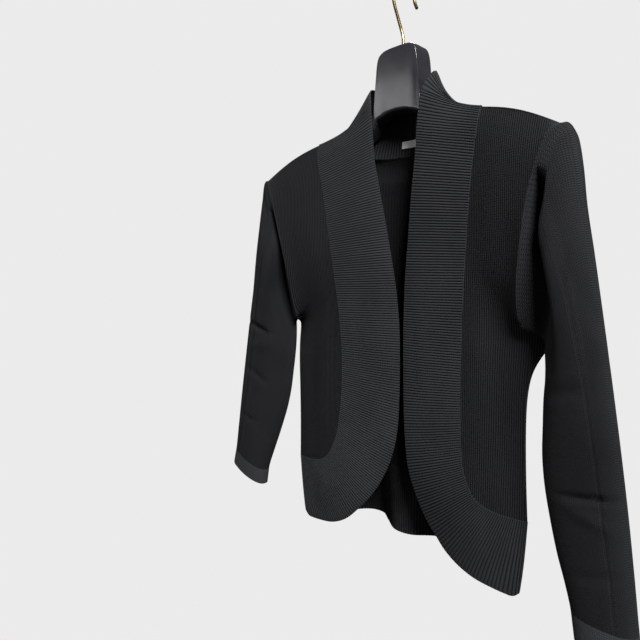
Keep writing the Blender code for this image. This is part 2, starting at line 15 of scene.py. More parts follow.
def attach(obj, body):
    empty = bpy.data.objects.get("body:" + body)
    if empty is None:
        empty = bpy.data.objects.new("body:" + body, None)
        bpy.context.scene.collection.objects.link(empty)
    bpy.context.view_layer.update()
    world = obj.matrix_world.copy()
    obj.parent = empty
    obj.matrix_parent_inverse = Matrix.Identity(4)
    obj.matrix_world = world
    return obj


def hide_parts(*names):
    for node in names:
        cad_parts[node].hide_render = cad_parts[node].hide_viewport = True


for leftover in ("Cube", "Light", "Camera"):
    if leftover in bpy.data.objects:
        bpy.data.objects.remove(bpy.data.objects[leftover], do_unlink=True)
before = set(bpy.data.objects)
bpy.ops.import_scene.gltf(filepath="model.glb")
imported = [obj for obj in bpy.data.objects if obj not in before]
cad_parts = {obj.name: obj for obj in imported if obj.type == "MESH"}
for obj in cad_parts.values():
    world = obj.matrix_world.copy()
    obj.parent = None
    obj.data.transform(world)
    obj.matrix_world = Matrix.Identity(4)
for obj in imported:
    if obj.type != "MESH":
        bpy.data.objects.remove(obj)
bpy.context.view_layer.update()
print("panels and hard parts:", sorted(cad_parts))

# %% [markdown]
# ## The camera
# The camera stands about level with the garment's middle, off to the wearer's left, and looks a little
# down. Its three axes are worked out from the direction that it looks in, a small pitch down and a slight
# roll.

# %% Place the camera
VIEW_FROM = Vector((0.3884, -0.5380, -0.3410))
VIEW_TURN = math.radians(44.09)
VIEW_DOWN = math.radians(3.61)
VIEW_ROLL = math.radians(-0.24)

ahead = Vector((
    -math.sin(VIEW_TURN) * math.cos(VIEW_DOWN),
    math.cos(VIEW_TURN) * math.cos(VIEW_DOWN),
    -math.sin(VIEW_DOWN),
))
level = Vector((math.cos(VIEW_TURN), math.sin(VIEW_TURN), 0.0))
upright = level.cross(ahead)
rightward = level * math.cos(VIEW_ROLL) + upright * math.sin(VIEW_ROLL)
upward = upright * math.cos(VIEW_ROLL) - level * math.sin(VIEW_ROLL)

bpy.ops.object.camera_add(location=VIEW_FROM)
camera = bpy.context.object
camera.name = "view_camera"
camera.data.lens = 31.75
camera.data.sensor_width = 36.0
camera.data.clip_start = 0.01
camera_axes = Matrix((rightward, upward, -ahead)).transposed()
camera.matrix_world = Matrix.Translation(VIEW_FROM) @ camera_axes.to_4x4()
bpy.context.scene.camera = camera
bpy.context.scene.view_settings.view_transform = "Standard"
print("camera at", [round(c, 3) for c in VIEW_FROM])

# %% [markdown]
# ## The room
# The backdrop is one plain, pale, even tone, and the light is soft. Dark knitwear shows its ribs only where
# the light rakes across them, so one large soft light stands high to the front and the others stay weak.

# %% Light the room
PALE = (0.838, 0.831, 0.831, 1.0)
ROOM_LIGHT = 0.09


def show_pale(tree, source):
    """Shows a glowing source in its full pale tone to the camera, and lets it light the scene only weakly."""
    source.inputs["Color"].default_value = PALE
    ray = tree.nodes.new("ShaderNodeLightPath")
    strength = tree.nodes.new("ShaderNodeMapRange")
    strength.inputs["To Min"].default_value = ROOM_LIGHT
    strength.inputs["To Max"].default_value = 1.0
    tree.links.new(ray.outputs["Is Camera Ray"], strength.inputs["Value"])
    tree.links.new(strength.outputs["Result"], source.inputs["Strength"])


def soft_light(name, place, target, size, watts):
    """Adds a square area light that points from place to target."""
    bpy.ops.object.light_add(type="AREA", location=place)
    light = bpy.context.object
    light.name = name
    light.data.size = size
    light.data.energy = watts
    light.rotation_euler = (Vector(target) - Vector(place)).to_track_quat("-Z", "Y").to_euler()


room = bpy.data.worlds.new("pale_room")
bpy.context.scene.world = room
room.use_nodes = True
show_pale(room.node_tree, room.node_tree.nodes["Background"])
soft_light("key_light", (1.45, -1.00, 1.10), (0.05, 0.0, -0.35), 0.8, 84)
soft_light("fill_light", (-1.5, -1.35, 0.0), (0.0, 0.0, -0.30), 1.2, 9)
soft_light("rim_light", (-0.5, 1.1, 1.7), (0.0, 0.0, -0.30), 0.8, 20)

# %% Lay the pale floor
FLOOR_LEVEL = -1.05

bpy.ops.mesh.primitive_plane_add(size=30.0, location=(0.0, 0.0, FLOOR_LEVEL))
floor = bpy.context.object
floor.name = "floor"
floor_paint = bpy.data.materials.new("floor_paint")
floor_paint.use_nodes = True
floor_tree = floor_paint.node_tree
glow = floor_tree.nodes.new("ShaderNodeEmission")
show_pale(floor_tree, glow)
floor_tree.links.new(glow.outputs["Emission"], floor_tree.nodes["Material Output"].inputs["Surface"])
floor.data.materials.append(floor_paint)
print("floor at", FLOOR_LEVEL)

# %% [markdown]
# ## What the cloth is cut to
# These short tables give the cut of the wearer's left half, in centimetres, with heights counted from a
# level 5 mm above the hanger's neck. The right half is the same cut, mirrored. Every sheet below is a
# smooth surface through these rows, so all the pieces meet along the same seams.

# %% The cut of the rib border, which is collar, front edge, rounded corner and hem in one
SIDES = ((1, "left"), (-1, "right"))
CM = 0.01
HOOK_RISE = 0.070162
NECK_TOP = -0.005

# Columns: free edge x, y, z, seam x, y, z, bow of the middle
BAND_STATIONS = np.array([
    (0.00, 2.75, -4.50, 0.00, 2.00, -12.10, -0.2),
    (2.00, 2.55, -4.45, 3.60, 1.75, -12.00, -0.2),
    (3.60, 1.50, -4.25, 7.00, 0.80, -11.45, -0.4),
    (4.32, 0.15, -4.05, 9.40, -0.35, -10.80, -0.6),
    (4.20, -0.75, -4.50, 10.60, -1.35, -10.00, -0.8),
    (3.55, -1.55, -6.20, 10.95, -2.40, -9.83, -0.8),
    (3.10, -1.75, -9.60, 10.80, -2.90, -11.90, -0.2),
    (2.80, -1.80, -12.90, 10.30, -2.80, -14.80, 0.0),
    (2.10, -1.70, -17.20, 9.80, -2.70, -18.40, 0.2),
    (1.35, -1.60, -22.20, 9.30, -2.60, -22.80, 0.3),
    (0.62, -1.50, -27.50, 8.75, -2.40, -27.60, 0.3),
    (0.30, -1.45, -32.50, 8.35, -2.20, -32.50, 0.3),
    (0.28, -1.45, -38.00, 8.20, -2.10, -37.60, 0.3),
    (0.50, -1.40, -43.60, 8.35, -2.20, -42.00, 0.3),
    (1.20, -1.40, -47.60, 8.65, -2.30, -45.00, 0.3),
    (2.60, -1.35, -50.90, 9.25, -2.35, -47.20, 0.3),
    (4.60, -1.30, -53.80, 10.30, -2.30, -48.95, 0.3),
    (7.20, -1.25, -56.50, 11.70, -2.10, -49.80, 0.3),
    (9.80, -1.20, -57.90, 13.20, -1.85, -50.15, 0.2),
    (12.60, -1.10, -58.40, 14.60, -1.50, -50.30, 0.1),
    (15.40, -1.00, -58.50, 15.90, -1.15, -50.40, 0.0),
])
SHOULDER_STATION = 5
CORNER_STATION = 16
SIDE_STATION = 20

# How far the opening hangs to the wearer's left. Columns: z, shift
OPENING_SHIFT = np.array([
    (-8.0, 0.0),
    (-17.0, 0.3),
    (-22.0, 0.6),
    (-33.0, 1.0),
    (-44.0, 0.95),
    (-51.0, 0.45),
    (-56.0, 0.0),
])
SHIFT_REACH = 15.5

# Rows and ribs of the border: back neck, front edge down to the corner, hem
NECK_ROWS, FRONT_ROWS, HEM_ROWS = 8, 22, 5
RIBS_A_ROW = [4] * NECK_ROWS + [7] * FRONT_ROWS + [6] * HEM_ROWS
BAND_ROWS = NECK_ROWS + FRONT_ROWS + HEM_ROWS
print("ribs in each half of the border:", sum(RIBS_A_ROW))

# %% The cut of the sleeves and the back
# Columns: outer x, y, z, inner x, y, z, the front's depth and lean high up, its depth and lean low down,
# the rear's depth, lean and fold
SLEEVE_RINGS = np.array([
    (19.20, -3.60, -13.25, 15.90, -1.60, -31.60, 1.6, -1.45, 1.6, -1.45, 2.6, -0.6, 0.0),
    (19.75, -3.60, -13.25, 16.55, -1.55, -31.80, 0.3, -1.80, 0.8, -0.90, 2.7, -0.4, 0.0),
    (20.10, -3.55, -13.50, 16.95, -1.50, -32.20, -1.2, -2.20, -0.3, -0.10, 2.5, -0.2, 0.2),
    (20.35, -3.50, -13.90, 17.30, -1.50, -32.90, -1.2, -1.80, -0.4, 0.10, 2.3, -0.1, 1.0),
    (20.65, -3.40, -14.80, 17.45, -1.50, -34.20, 1.3, -2.00, 0.7, 0.30, 2.1, 0.0, 0.3),
    (21.00, -3.30, -17.00, 17.55, -1.60, -36.20, 2.0, -1.60, 1.2, 0.30, 2.0, 0.0, 0.0),
    (21.35, -3.20, -20.20, 17.60, -1.80, -38.20, 2.2, -0.90, 1.6, 0.20, 1.9, 0.0, 0.0),
    (22.00, -3.10, -24.20, 17.70, -2.00, -40.60, 2.0, -0.40, 1.7, 0.10, 1.7, 0.0, 0.0),
    (22.80, -3.00, -29.40, 17.80, -2.20, -43.20, 1.7, -0.10, 1.6, 0.00, 1.5, 0.0, 0.0),
    (23.70, -3.00, -35.20, 18.15, -2.40, -45.90, 1.5, 0.0, 1.5, 0.0, 1.3, 0.0, 0.0),
    (24.55, -3.00, -41.00, 18.75, -2.60, -48.60, 1.4, 0.0, 1.4, 0.0, 1.2, 0.0, 0.0),
    (25.30, -3.00, -46.60, 19.50, -2.80, -51.40, 1.4, 0.0, 1.4, 0.0, 1.2, 0.0, 0.0),
    (25.90, -3.00, -51.80, 20.35, -2.90, -54.00, 1.5, 0.0, 1.5, 0.0, 1.3, 0.0, 0.0),
    (26.40, -3.00, -56.40, 20.95, -3.00, -56.10, 1.6, 0.0, 1.6, 0.0, 1.4, 0.0, 0.0),
    (26.80, -3.00, -58.95, 21.30, -3.00, -58.55, 1.6, 0.0, 1.6, 0.0, 1.4, 0.0, 0.0),
])
CUFF_SEAM_RING = 13
ARMHOLE_STEPS = 9
RIGHT_SLEEVE_LENGTH = 0.874
RIGHT_SLEEVE_SWING = 1.8
RIGHT_SLEEVE_DRAW = 0.8
RIGHT_ELBOW_BEND = 0.8

# A ring's heights run from -1 at its inner line to 1 at its outer line
SLEEVE_ROUNDNESS = 0.8
FRONT_LOW, FRONT_HIGH = -0.45, 0.35
HANGER_LOW, HANGER_HIGH = 0.42, 0.66
HANGER_ROOM = 1.7

# The back's distance behind the middle plane. Columns: place across, y at the neck, at the waist, at the hem
BACK_SECTIONS = np.array([
    (-1.00, 0.0, -1.0, -1.0),
    (-0.80, 0.3, 0.4, 1.9),
    (-0.62, 1.1, 1.3, 5.4),
    (-0.45, 1.7, 1.9, 5.7),
    (-0.30, 1.9, 2.3, 3.9),
    (-0.15, 2.0, 2.6, 2.1),
    (0.00, 2.0, 2.7, 2.1),
    (0.15, 2.0, 2.6, 3.9),
    (0.35, 1.8, 2.2, 4.7),
    (0.60, 1.2, 1.4, 3.6),
    (0.80, 0.3, 0.4, 1.6),
    (1.00, 0.0, -1.0, -1.0),
])
BACK_HEM_LIFT = 0.9
WAIST_PLACE = 0.45
HEM_PLACE = 0.85
HEM_FLARE = 1.6
SHOULDER_RISE = 0.45
SIDE_SEAM_WAIST = 0.25
SIDE_SAG = 1.3
SAG_DRAW = 1.5
SAG_PLACE = 0.06
print("sleeve rings:", len(SLEEVE_RINGS), "back sections:", len(BACK_SECTIONS))

# %% [markdown]
# ## Reading a table as a smooth curve
# Cloth has no corners between the rows of a table. These helpers pass a smooth curve through every row, so
# a sheet can be sampled as finely as its ribs need.


# %% Helpers that read the tables
def smooth_rows(table, places):
    """The table's rows read at fractional row numbers, on a smooth curve through every row."""
    places = np.atleast_1d(np.asarray(places, float))
    last = len(table) - 1
    lower = np.clip(np.floor(places).astype(int), 0, last - 1)
    part = (places - lower)[:, None]
    before = table[np.clip(lower - 1, 0, last)]
    here = table[lower]
    after = table[lower + 1]
    beyond = table[np.clip(lower + 2, 0, last)]
    start = (after - before) / 2
    end = (beyond - here) / 2
    return (
        here * (2 * part**3 - 3 * part**2 + 1)
        + start * (part**3 - 2 * part**2 + part)
        + after * (3 * part**2 - 2 * part**3)
        + end * (part**3 - part**2)
    )


def smooth_value(table, column, where):
    """One column of a table as a smooth function of its first column."""
    keys = table[:, 0]
    where = np.asarray(where, float)
    rising = keys[0] < keys[-1]
    places = np.interp(where if rising else -where, keys if rising else -keys, np.arange(len(keys)))
    return smooth_rows(table, places.ravel())[:, column].reshape(where.shape)


def unit(vectors):
    """The vectors at length one."""
    return vectors / np.maximum(np.linalg.norm(vectors, axis=-1, keepdims=True), 1e-12)


def ramp(values, low, high):
    """The values as a share of the way from low to high, held at 0 and 1 beyond them."""
    return np.clip((values - low) / (high - low), 0, 1)


def eased(values, low, high):
    """A ramp that starts and ends level."""
    part = ramp(values, low, high)
    return part * part * (3 - 2 * part)


def lowered(points):
    """Table centimetres as metres from the inside top of the hook."""
    return np.asarray(points, float) * CM + np.array([0.0, 0.0, -HOOK_RISE])


def mirrored(points, side):
    """The points, on their own side of the middle."""
    return points * np.array([side, 1.0, 1.0])


print("widest row of the border:", round(float(np.ptp(BAND_STATIONS[:, [0, 3]], axis=1).max()), 2), "cm")


# %% The border, row by row
def even_places(first, last, steps):
    """Row numbers of the border's table, evenly spaced along its middle line."""
    places = np.linspace(first, last, 400)
    rows = smooth_rows(BAND_STATIONS, places)
    middle = (rows[:, 0:3] + rows[:, 3:6]) / 2
    lengths = np.concatenate([[0.0], np.cumsum(np.linalg.norm(np.diff(middle, axis=0), axis=1))])
    return np.interp(np.linspace(0.0, lengths[-1], steps + 1), lengths, places)


BAND_PLACES = np.concatenate([
    even_places(0, SHOULDER_STATION, NECK_ROWS),
    even_places(SHOULDER_STATION, CORNER_STATION, FRONT_ROWS)[1:],
    even_places(CORNER_STATION, SIDE_STATION, HEM_ROWS)[1:],
])
RIB_COUNT = np.concatenate([[0.0], np.cumsum(RIBS_A_ROW)])


def hang_to_side(points, side):
    """Turns left-half points to their side, and lets the opening hang a little to the wearer's left."""
    shifted = points.copy()
    shift = smooth_value(OPENING_SHIFT, 1, points[..., 2])
    weight = np.clip(1 - (points[..., 0] / SHIFT_REACH) ** 2, 0, 1)
    shifted[..., 0] = side * points[..., 0] + shift * weight
    return shifted


def band_stations(rows):
    """The border's table at fractional rows."""
    return smooth_rows(BAND_STATIONS, np.interp(rows, np.arange(BAND_ROWS + 1), BAND_PLACES))


def band_surface(side, rows, across):
    """Border points at fractional rows, from the free edge at 0 to the seam at 1."""
    stations = band_stations(rows)
    edge = stations[:, None, 0:3]
    seam = stations[:, None, 3:6]
    along = np.gradient((edge + seam) / 2, axis=0)
    out = unit(np.cross(along, seam - edge))
    part = np.asarray(across)[None, :, None]
    bow = stations[:, None, 6:7] * np.sin(math.pi * part)
    points = edge + (seam - edge) * part + out * bow
    points[..., 0] *= ramp(rows, 0.0, 0.02)[:, None]
    return hang_to_side(points, side)


def band_seam(side, rows):
    """The border's seam line at fractional rows."""
    return hang_to_side(band_stations(rows)[:, 3:6], side)


print("border rows:", BAND_ROWS)


# %% The sleeve, ring by ring
def half_angles(parts):
    """Angles from a ring's outer line to its inner line, their heights nearly evenly spaced."""
    parts = np.clip(parts, 0, 1)
    return (math.pi * parts + np.arccos(1 - 2 * parts)) / 2


def ring_points(row, angle):
    """Points of one sleeve ring, from its outer line at 0 round its front to the inner line at pi."""
    outer, inner = row[0:3], row[3:6]
    high_depth, high_lean, low_depth, low_lean, rear_depth, rear_lean, rear_fold = row[6:13]
    turn = np.asarray(angle, float)[:, None]
    height = np.cos(turn)
    swell = np.abs(np.sin(turn)) ** SLEEVE_ROUNDNESS
    front = (np.sin(turn) >= 0).astype(float)
    rear = 1 - front
    high = eased(height, FRONT_LOW, FRONT_HIGH)
    lean = low_lean + (high_lean - low_lean) * high
    depth = low_depth + (high_depth - low_depth) * high
    depth += np.maximum(HANGER_ROOM - depth, 0) * eased(height, HANGER_LOW, HANGER_HIGH)
    fold = rear_fold * ramp(height, 0.80, 0.45) * ramp(height, -1.0, -0.70)
    middle = (outer + inner) / 2
    points = middle + (outer - middle) * height
    points[:, 0:1] += (front * lean + rear * rear_lean) * swell
    points[:, 1:2] += (rear * (rear_depth - fold) - front * depth) * swell
    return points


def sleeve_table(side):
    """The ring table of one sleeve: the wearer's right one hangs shorter and swings out."""
    rings = SLEEVE_RINGS.copy()
    if side > 0:
        return rings
    for column in (2, 5):
        rings[:, column] = rings[0, column] + (rings[:, column] - rings[0, column]) * RIGHT_SLEEVE_LENGTH
    fall = np.linspace(0.0, 1.0, len(rings))
    rings[:, 0] += RIGHT_SLEEVE_SWING * fall**3
    rings[:, 1] += RIGHT_SLEEVE_DRAW * fall**2
    rings[:, 3] -= RIGHT_ELBOW_BEND * np.sin(math.pi * fall) ** 2
    return rings


def tube_surface(side, rows, around):
    """Points round the given rows of a ring table; around runs from 0 to 1, once round."""
    angles = np.where(around <= 0.5, half_angles(around * 2), 2 * math.pi - half_angles(2 - around * 2))
    return mirrored(np.stack([ring_points(row, angles) for row in rows]), side)


def armhole(front, parts):
    """The armhole from the shoulder tip to the underarm, down its front or its back."""
    angles = half_angles(parts) if front else 2 * math.pi - half_angles(parts)
    points = ring_points(SLEEVE_RINGS[0], angles)
    points[parts <= 0] = SLEEVE_RINGS[0][0:3]
    points[parts >= 1] = SLEEVE_RINGS[0][3:6]
    return points


print("underarm at", SLEEVE_RINGS[0][3:6], "cm")


# %% The body panels, blended between their four edges
SOFTENING_PASSES = 260
KINK_FADE = 8


def outer_edge(front, parts):
    """A body panel's outer edge: the armhole, then the side seam, sagging under the arm, down to the hem."""
    rows = np.asarray(parts) * FRONT_ROWS
    hole = armhole(front, ramp(rows, 0, ARMHOLE_STEPS))
    down = ramp(rows, ARMHOLE_STEPS, FRONT_ROWS)[:, None]
    top = SLEEVE_RINGS[0][3:6]
    bottom = BAND_STATIONS[SIDE_STATION][3:6]
    seam = top + (bottom - top) * down
    sag = SIDE_SAG * down / SAG_PLACE * np.exp(1 - down / SAG_PLACE)
    seam[:, 0:1] += sag - SIDE_SEAM_WAIST * np.sin(math.pi * down)
    seam[:, 1:2] += SAG_DRAW * sag
    return np.where((rows > ARMHOLE_STEPS)[:, None], seam, hole)


def shoulder_edge(parts):
    """The shoulder seam from the border out to the sleeve, lightly raised in its middle."""
    start = BAND_STATIONS[SHOULDER_STATION][3:6]
    end = SLEEVE_RINGS[0][0:3]
    place = np.asarray(parts)[:, None]
    seam = start + (end - start) * place
    seam[:, 2:3] += SHOULDER_RISE * np.sin(math.pi * place)
    return seam


def softened(line):
    """A line with its kinks rounded off, its two ends kept."""
    soft = line.copy()
    for _ in range(SOFTENING_PASSES):
        soft[1:-1] = (soft[:-2] + 2 * soft[1:-1] + soft[2:]) / 4
    return soft


def blend_edges(left, right, top, bottom, down, across):
    """A grid whose four edges are the four given lines, blended inside, where an edge's kinks soon fade."""
    down = down[:, None, None]
    across = across[None, :, None]
    near_left = (1 - across) ** KINK_FADE
    near_right = across**KINK_FADE
    left = left[:, None] * near_left + softened(left)[:, None] * (1 - near_left)
    right = right[:, None] * near_right + softened(right)[:, None] * (1 - near_right)
    sides = left * (1 - across) + right * across
    ends = top[None] * (1 - down) + bottom[None] * down
    corners = (
        (1 - down) * ((1 - across) * top[0] + across * top[-1])
        + down * ((1 - across) * bottom[0] + across * bottom[-1])
    )
    return sides + ends - corners


def front_surface(side, down, across):
    """A front panel between the border, the shoulder, the armhole with the side seam, and the hem border."""
    left = band_seam(side, NECK_ROWS + down * FRONT_ROWS)
    bottom = band_seam(side, NECK_ROWS + FRONT_ROWS + across * HEM_ROWS)
    right = mirrored(outer_edge(True, down), side)
    top = mirrored(shoulder_edge(across), side)
    top[0] = left[0]
    right[-1] = bottom[-1]
    return blend_edges(left, right, top, bottom, down, across)


def back_depth(place, low):
    """The back's y, by its place across from -1 to 1 and down from 0 at the neck to 1 at the hem."""
    neck, waist, hem = (smooth_value(BACK_SECTIONS, column, place) for column in (1, 2, 3))
    upper = ramp(low, 0.0, WAIST_PLACE)
    lower = ramp(low, WAIST_PLACE, 1.0) ** HEM_FLARE
    return (neck * (1 - upper) + waist * upper) * (1 - lower) + hem * lower


BACK_COLUMNS = 2 * (HEM_ROWS + NECK_ROWS)


def back_top(across):
    """The back's top edge: right shoulder, back neck, left shoulder."""
    column = across * BACK_COLUMNS
    middle = BACK_COLUMNS / 2
    reach = np.abs(column - middle)
    side = np.where(column < middle, -1.0, 1.0)
    points = np.zeros((len(column), 3))
    for sign in (-1, 1):
        mine = side == sign
        neck = band_seam(sign, np.clip(reach[mine], 0, NECK_ROWS))
        shoulder = mirrored(shoulder_edge(np.clip((reach[mine] - NECK_ROWS) / HEM_ROWS, 0, 1)), sign)
        points[mine] = np.where((reach[mine] > NECK_ROWS)[:, None], shoulder, neck)
    return points


def back_line(half_width, height, low, place):
    """A line across the back at one height, hanging in its flutes."""
    depth = back_depth(place, np.full(len(place), low))
    return np.stack([place * half_width, depth, height + BACK_HEM_LIFT * (1 - place**2)], axis=1)


def pinned_line(corner, low, place):
    """A line across the back whose ends are the corner and its mirror image."""
    line = back_line(corner[0], corner[2], low, place)
    line[0], line[-1] = mirrored(corner, -1), corner
    return line


def back_surface(down, across):
    """The back panel, from the shoulders and back neck to the hem border's seam."""
    edge = outer_edge(False, down)
    bottom = pinned_line(edge[-1], HEM_PLACE, across * 2 - 1)
    grid = blend_edges(mirrored(edge, -1), edge, back_top(across), bottom, down, across)
    spots = grid[..., 0] / edge[:, None, 0]
    height = down[:, None] + 0 * spots
    ease = ramp(height, 0.0, 0.08) ** 0.5 * ramp(np.abs(spots), 1.0, 0.8)
    moved = (back_depth(spots, HEM_PLACE * height) - grid[..., 1]) * ease
    moved[-1] = 0.0
    grid[..., 1] += moved
    return grid


def back_hem_surface(down, across):
    """The hem border under the back panel, hanging in the same flutes a little deeper."""
    place = across * 2 - 1
    top = pinned_line(BAND_STATIONS[SIDE_STATION][3:6], HEM_PLACE, place)
    bottom = pinned_line(BAND_STATIONS[SIDE_STATION][0:3], 1.0, place)
    return top[None] + (bottom - top)[None] * down[:, None, None]


CORNER_LIFT = 0.75
CORNER_TUCK = 0.18
CORNER_REACH = 1.3


def turned_corner(points):
    """Rounds the bottom corner where the hem border folds round each side of the body."""
    end = BAND_STATIONS[SIDE_STATION][0:3]
    near_side = ramp(np.abs(points[..., 0]), end[0] - CORNER_REACH, end[0])
    low = ramp(points[..., 2], BAND_STATIONS[SIDE_STATION][5], end[2])
    turned = points.copy()
    turned[..., 2] += CORNER_LIFT * near_side**2 * low**2
    turned[..., 0] -= np.sign(points[..., 0]) * CORNER_TUCK * near_side**2 * low**3
    return turned


print("back columns:", BACK_COLUMNS)

# %% [markdown]
# ## Creases
# Hanging knitwear keeps a few soft creases: across the elbows, from the underarms, and down the fronts.
# Each one is a long, shallow trough or ridge. A row says where it is, which way it runs, how long, wide and
# deep it is.


# %% A soft crease
def creased(points, rows):
    """Presses soft troughs (or ridges, where deep is negative) into a sheet, along y.

    Each row: x, z, direction in degrees from level, length, width, deep, and face, which is -1 on the front
    and 1 on the back.
    """
    moved = points.copy()
    for x, z, turn, length, width, deep, face in rows:
        level, rise = math.cos(math.radians(turn)), math.sin(math.radians(turn))
        right, up = points[..., 0] - x, points[..., 2] - z
        run = right * level + up * rise
        off = up * level - right * rise
        shape = np.exp(-((off / width) ** 2)) * np.clip(1 - (run / (length / 2)) ** 2, 0, 1) ** 1.5
        moved[..., 1] -= face * deep * shape
    return moved


def keep_edges(grid, soft, down, across, side_reach, end_reach):
    """The creased sheet, brought back to its plain form along its four edges, where the seams run."""
    sides = ramp(np.minimum(across, 1 - across), 0.0, side_reach)[None, :]
    ends = ramp(np.minimum(down, 1 - down), 0.0, end_reach)[:, None]
    return grid + (soft - grid) * (sides * ends)[..., None]


def sheet_normals(grid, facing):
    """Unit normals of a grid of points, out of the garment."""
    return unit(np.cross(np.gradient(grid, axis=0), np.gradient(grid, axis=1))) * facing


CLOTH_THICKNESS = 0.0015


def flat_map(grid):
    """A map in metres for a body panel: across the wales in x, along them in z."""
    return np.stack([grid[..., 0] * CM, grid[..., 2] * CM], axis=-1)


def run_map(grid, around, along):
    """A map for a tube or a ribbed piece, from counts that run along its rows and columns."""
    return np.stack([around + 0 * grid[..., 0], along + 0 * grid[..., 0]], axis=-1)


# %% A sheet of cloth from a grid
def lay_cloth(name, grid, facing, pattern, closed=False, thickness=CLOTH_THICKNESS):
    """Adds a grid on the given points, maps its pattern, closes a tube, and gives the cloth its thickness."""
    rows, columns = grid.shape[0] - 1, grid.shape[1] - 1
    bpy.ops.object.select_all(action="DESELECT")
    bpy.ops.mesh.primitive_grid_add(x_subdivisions=columns, y_subdivisions=rows, size=1.0)
    cloth = bpy.context.object
    cloth.name = name
    mesh = cloth.data
    flat = np.empty(len(mesh.vertices) * 3)
    mesh.vertices.foreach_get("co", flat)
    flat = flat.reshape(-1, 3)
    column = np.rint((flat[:, 0] + 0.5) * columns).astype(int)
    row = np.rint((flat[:, 1] + 0.5) * rows).astype(int)
    mesh.vertices.foreach_set("co", grid[row, column].ravel())
    corners = np.empty(len(mesh.loops), int)
    mesh.loops.foreach_get("vertex_index", corners)
    mesh.uv_layers.active.data.foreach_set("uv", pattern[row, column][corners].ravel())
    if facing > 0:
        mesh.flip_normals()
    bpy.ops.object.mode_set(mode="EDIT")
    bpy.ops.mesh.select_all(action="SELECT")
    if closed:
        bpy.ops.mesh.remove_doubles(threshold=0.00002)
    bpy.ops.object.mode_set(mode="OBJECT")
    if thickness:
        solid = cloth.modifiers.new("thickness", "SOLIDIFY")
        solid.thickness = thickness
        solid.offset = -1.0
        bpy.ops.object.modifier_apply(modifier=solid.name)
    bpy.ops.object.shade_smooth_by_angle(angle=math.radians(60))
    print(name, "has", len(mesh.polygons), "faces")
    return cloth


# %% [markdown]
# ## The knit finishes
# All the yarn is one soft black with a cold cast. What differs is the stitch: raised ribs on the border, a
# firm fine rib on the body, a smooth plain knit on the sleeves and the plainest on the cuffs. One node
# group draws the stitches, and each finish places it with its own scale. Each finish paints shade into the
# grooves of its stitches and a highlight onto their raised yarn.


# %% Helpers that add nodes
def node_group(name, inputs, outputs):
    """A new node group with the named number sockets, its entry and its exit."""
    group = bpy.data.node_groups.new(name, "ShaderNodeTree")
    for direction, names in (("INPUT", inputs), ("OUTPUT", outputs)):
        for socket in names:
            group.interface.new_socket(socket, in_out=direction, socket_type="NodeSocketFloat")
    return group, group.nodes.new("NodeGroupInput"), group.nodes.new("NodeGroupOutput")


def maths(tree, operation, first, second=None, third=None):
    """Adds a Math node, with links or numbers on its inputs, and returns its output."""
    node = tree.nodes.new("ShaderNodeMath")
    node.operation = operation
    for place, value in enumerate((first, second, third)):
        if value is None:
            continue
        if isinstance(value, (int, float)):
            node.inputs[place].default_value = value
        else:
            tree.links.new(value, node.inputs[place])
    return node.outputs[0]


def noise(tree, vector, scale, detail):
    """Adds a noise pattern on the given coordinates and returns its output."""
    node = tree.nodes.new("ShaderNodeTexNoise")
    node.inputs["Scale"].default_value = scale
    node.inputs["Detail"].default_value = detail
    tree.links.new(vector, node.inputs["Vector"])
    return node.outputs["Fac"]


def object_place(tree):
    """Adds object coordinates."""
    return tree.nodes.new("ShaderNodeTexCoord").outputs["Object"]


def split(tree, vector):
    """Adds the outputs X, Y and Z of a vector."""
    node = tree.nodes.new("ShaderNodeSeparateXYZ")
    tree.links.new(vector, node.inputs["Vector"])
    return node.outputs


def ranged(tree, value, ends, target):
    """Feeds a value to target, spread from 0 and 1 to the two ends."""
    node = tree.nodes.new("ShaderNodeMapRange")
    node.inputs["To Min"].default_value, node.inputs["To Max"].default_value = ends
    tree.links.new(value, node.inputs["Value"])
    tree.links.new(node.outputs["Result"], target)


def mix_tones(tree, factor, first, second, target):
    """Feeds target a colour between two tones."""
    node = tree.nodes.new("ShaderNodeMix")
    node.data_type = "RGBA"
    node.inputs["A"].default_value = (*first, 1.0)
    node.inputs["B"].default_value = (*second, 1.0)
    tree.links.new(factor, node.inputs["Factor"])
    tree.links.new(node.outputs["Result"], target)


def raise_relief(tree, shader, height, strength, distance):
    """Gives the shader a fine relief, distance metres high."""
    node = tree.nodes.new("ShaderNodeBump")
    node.inputs["Strength"].default_value = strength
    node.inputs["Distance"].default_value = distance
    tree.links.new(height, node.inputs["Height"])
    tree.links.new(node.outputs["Normal"], shader.inputs["Normal"])


def new_finish(name):
    """A new material, its node tree and its shader."""
    material = bpy.data.materials.new(name)
    material.use_nodes = True
    return material, material.node_tree, material.node_tree.nodes["Principled BSDF"]


# %% A node group for knitted stitches
stitches, entry, stitch_exit = node_group("knit_stitches", ("Wales", "Courses", "Groove"), ("Height",))
cloth_map = stitches.nodes.new("ShaderNodeUVMap")
cloth_map.uv_map = "UVMap"
map_axes = split(stitches, cloth_map.outputs["UV"])
wobble = noise(stitches, cloth_map.outputs["UV"], 60.0, 1.0)
drift = maths(stitches, "MULTIPLY_ADD", wobble, 0.24, -0.12)
wale = maths(stitches, "MULTIPLY_ADD", map_axes["X"], entry.outputs["Wales"], drift)
course = maths(stitches, "MULTIPLY_ADD", map_axes["Y"], entry.outputs["Courses"], drift)
off_middle = maths(stitches, "ABSOLUTE", maths(stitches, "SUBTRACT", maths(stitches, "FRACT", wale), 0.5))
leg = maths(stitches, "MULTIPLY", off_middle, 2.0)
rounding = maths(stitches, "SUBTRACT", 1.0, maths(stitches, "POWER", leg, 3.0))
slanted = maths(stitches, "MULTIPLY_ADD", leg, 0.5, course)
loop = maths(stitches, "SINE", maths(stitches, "MULTIPLY", slanted, 2 * math.pi))
loop_height = maths(stitches, "MULTIPLY_ADD", loop, 0.5, 0.5)
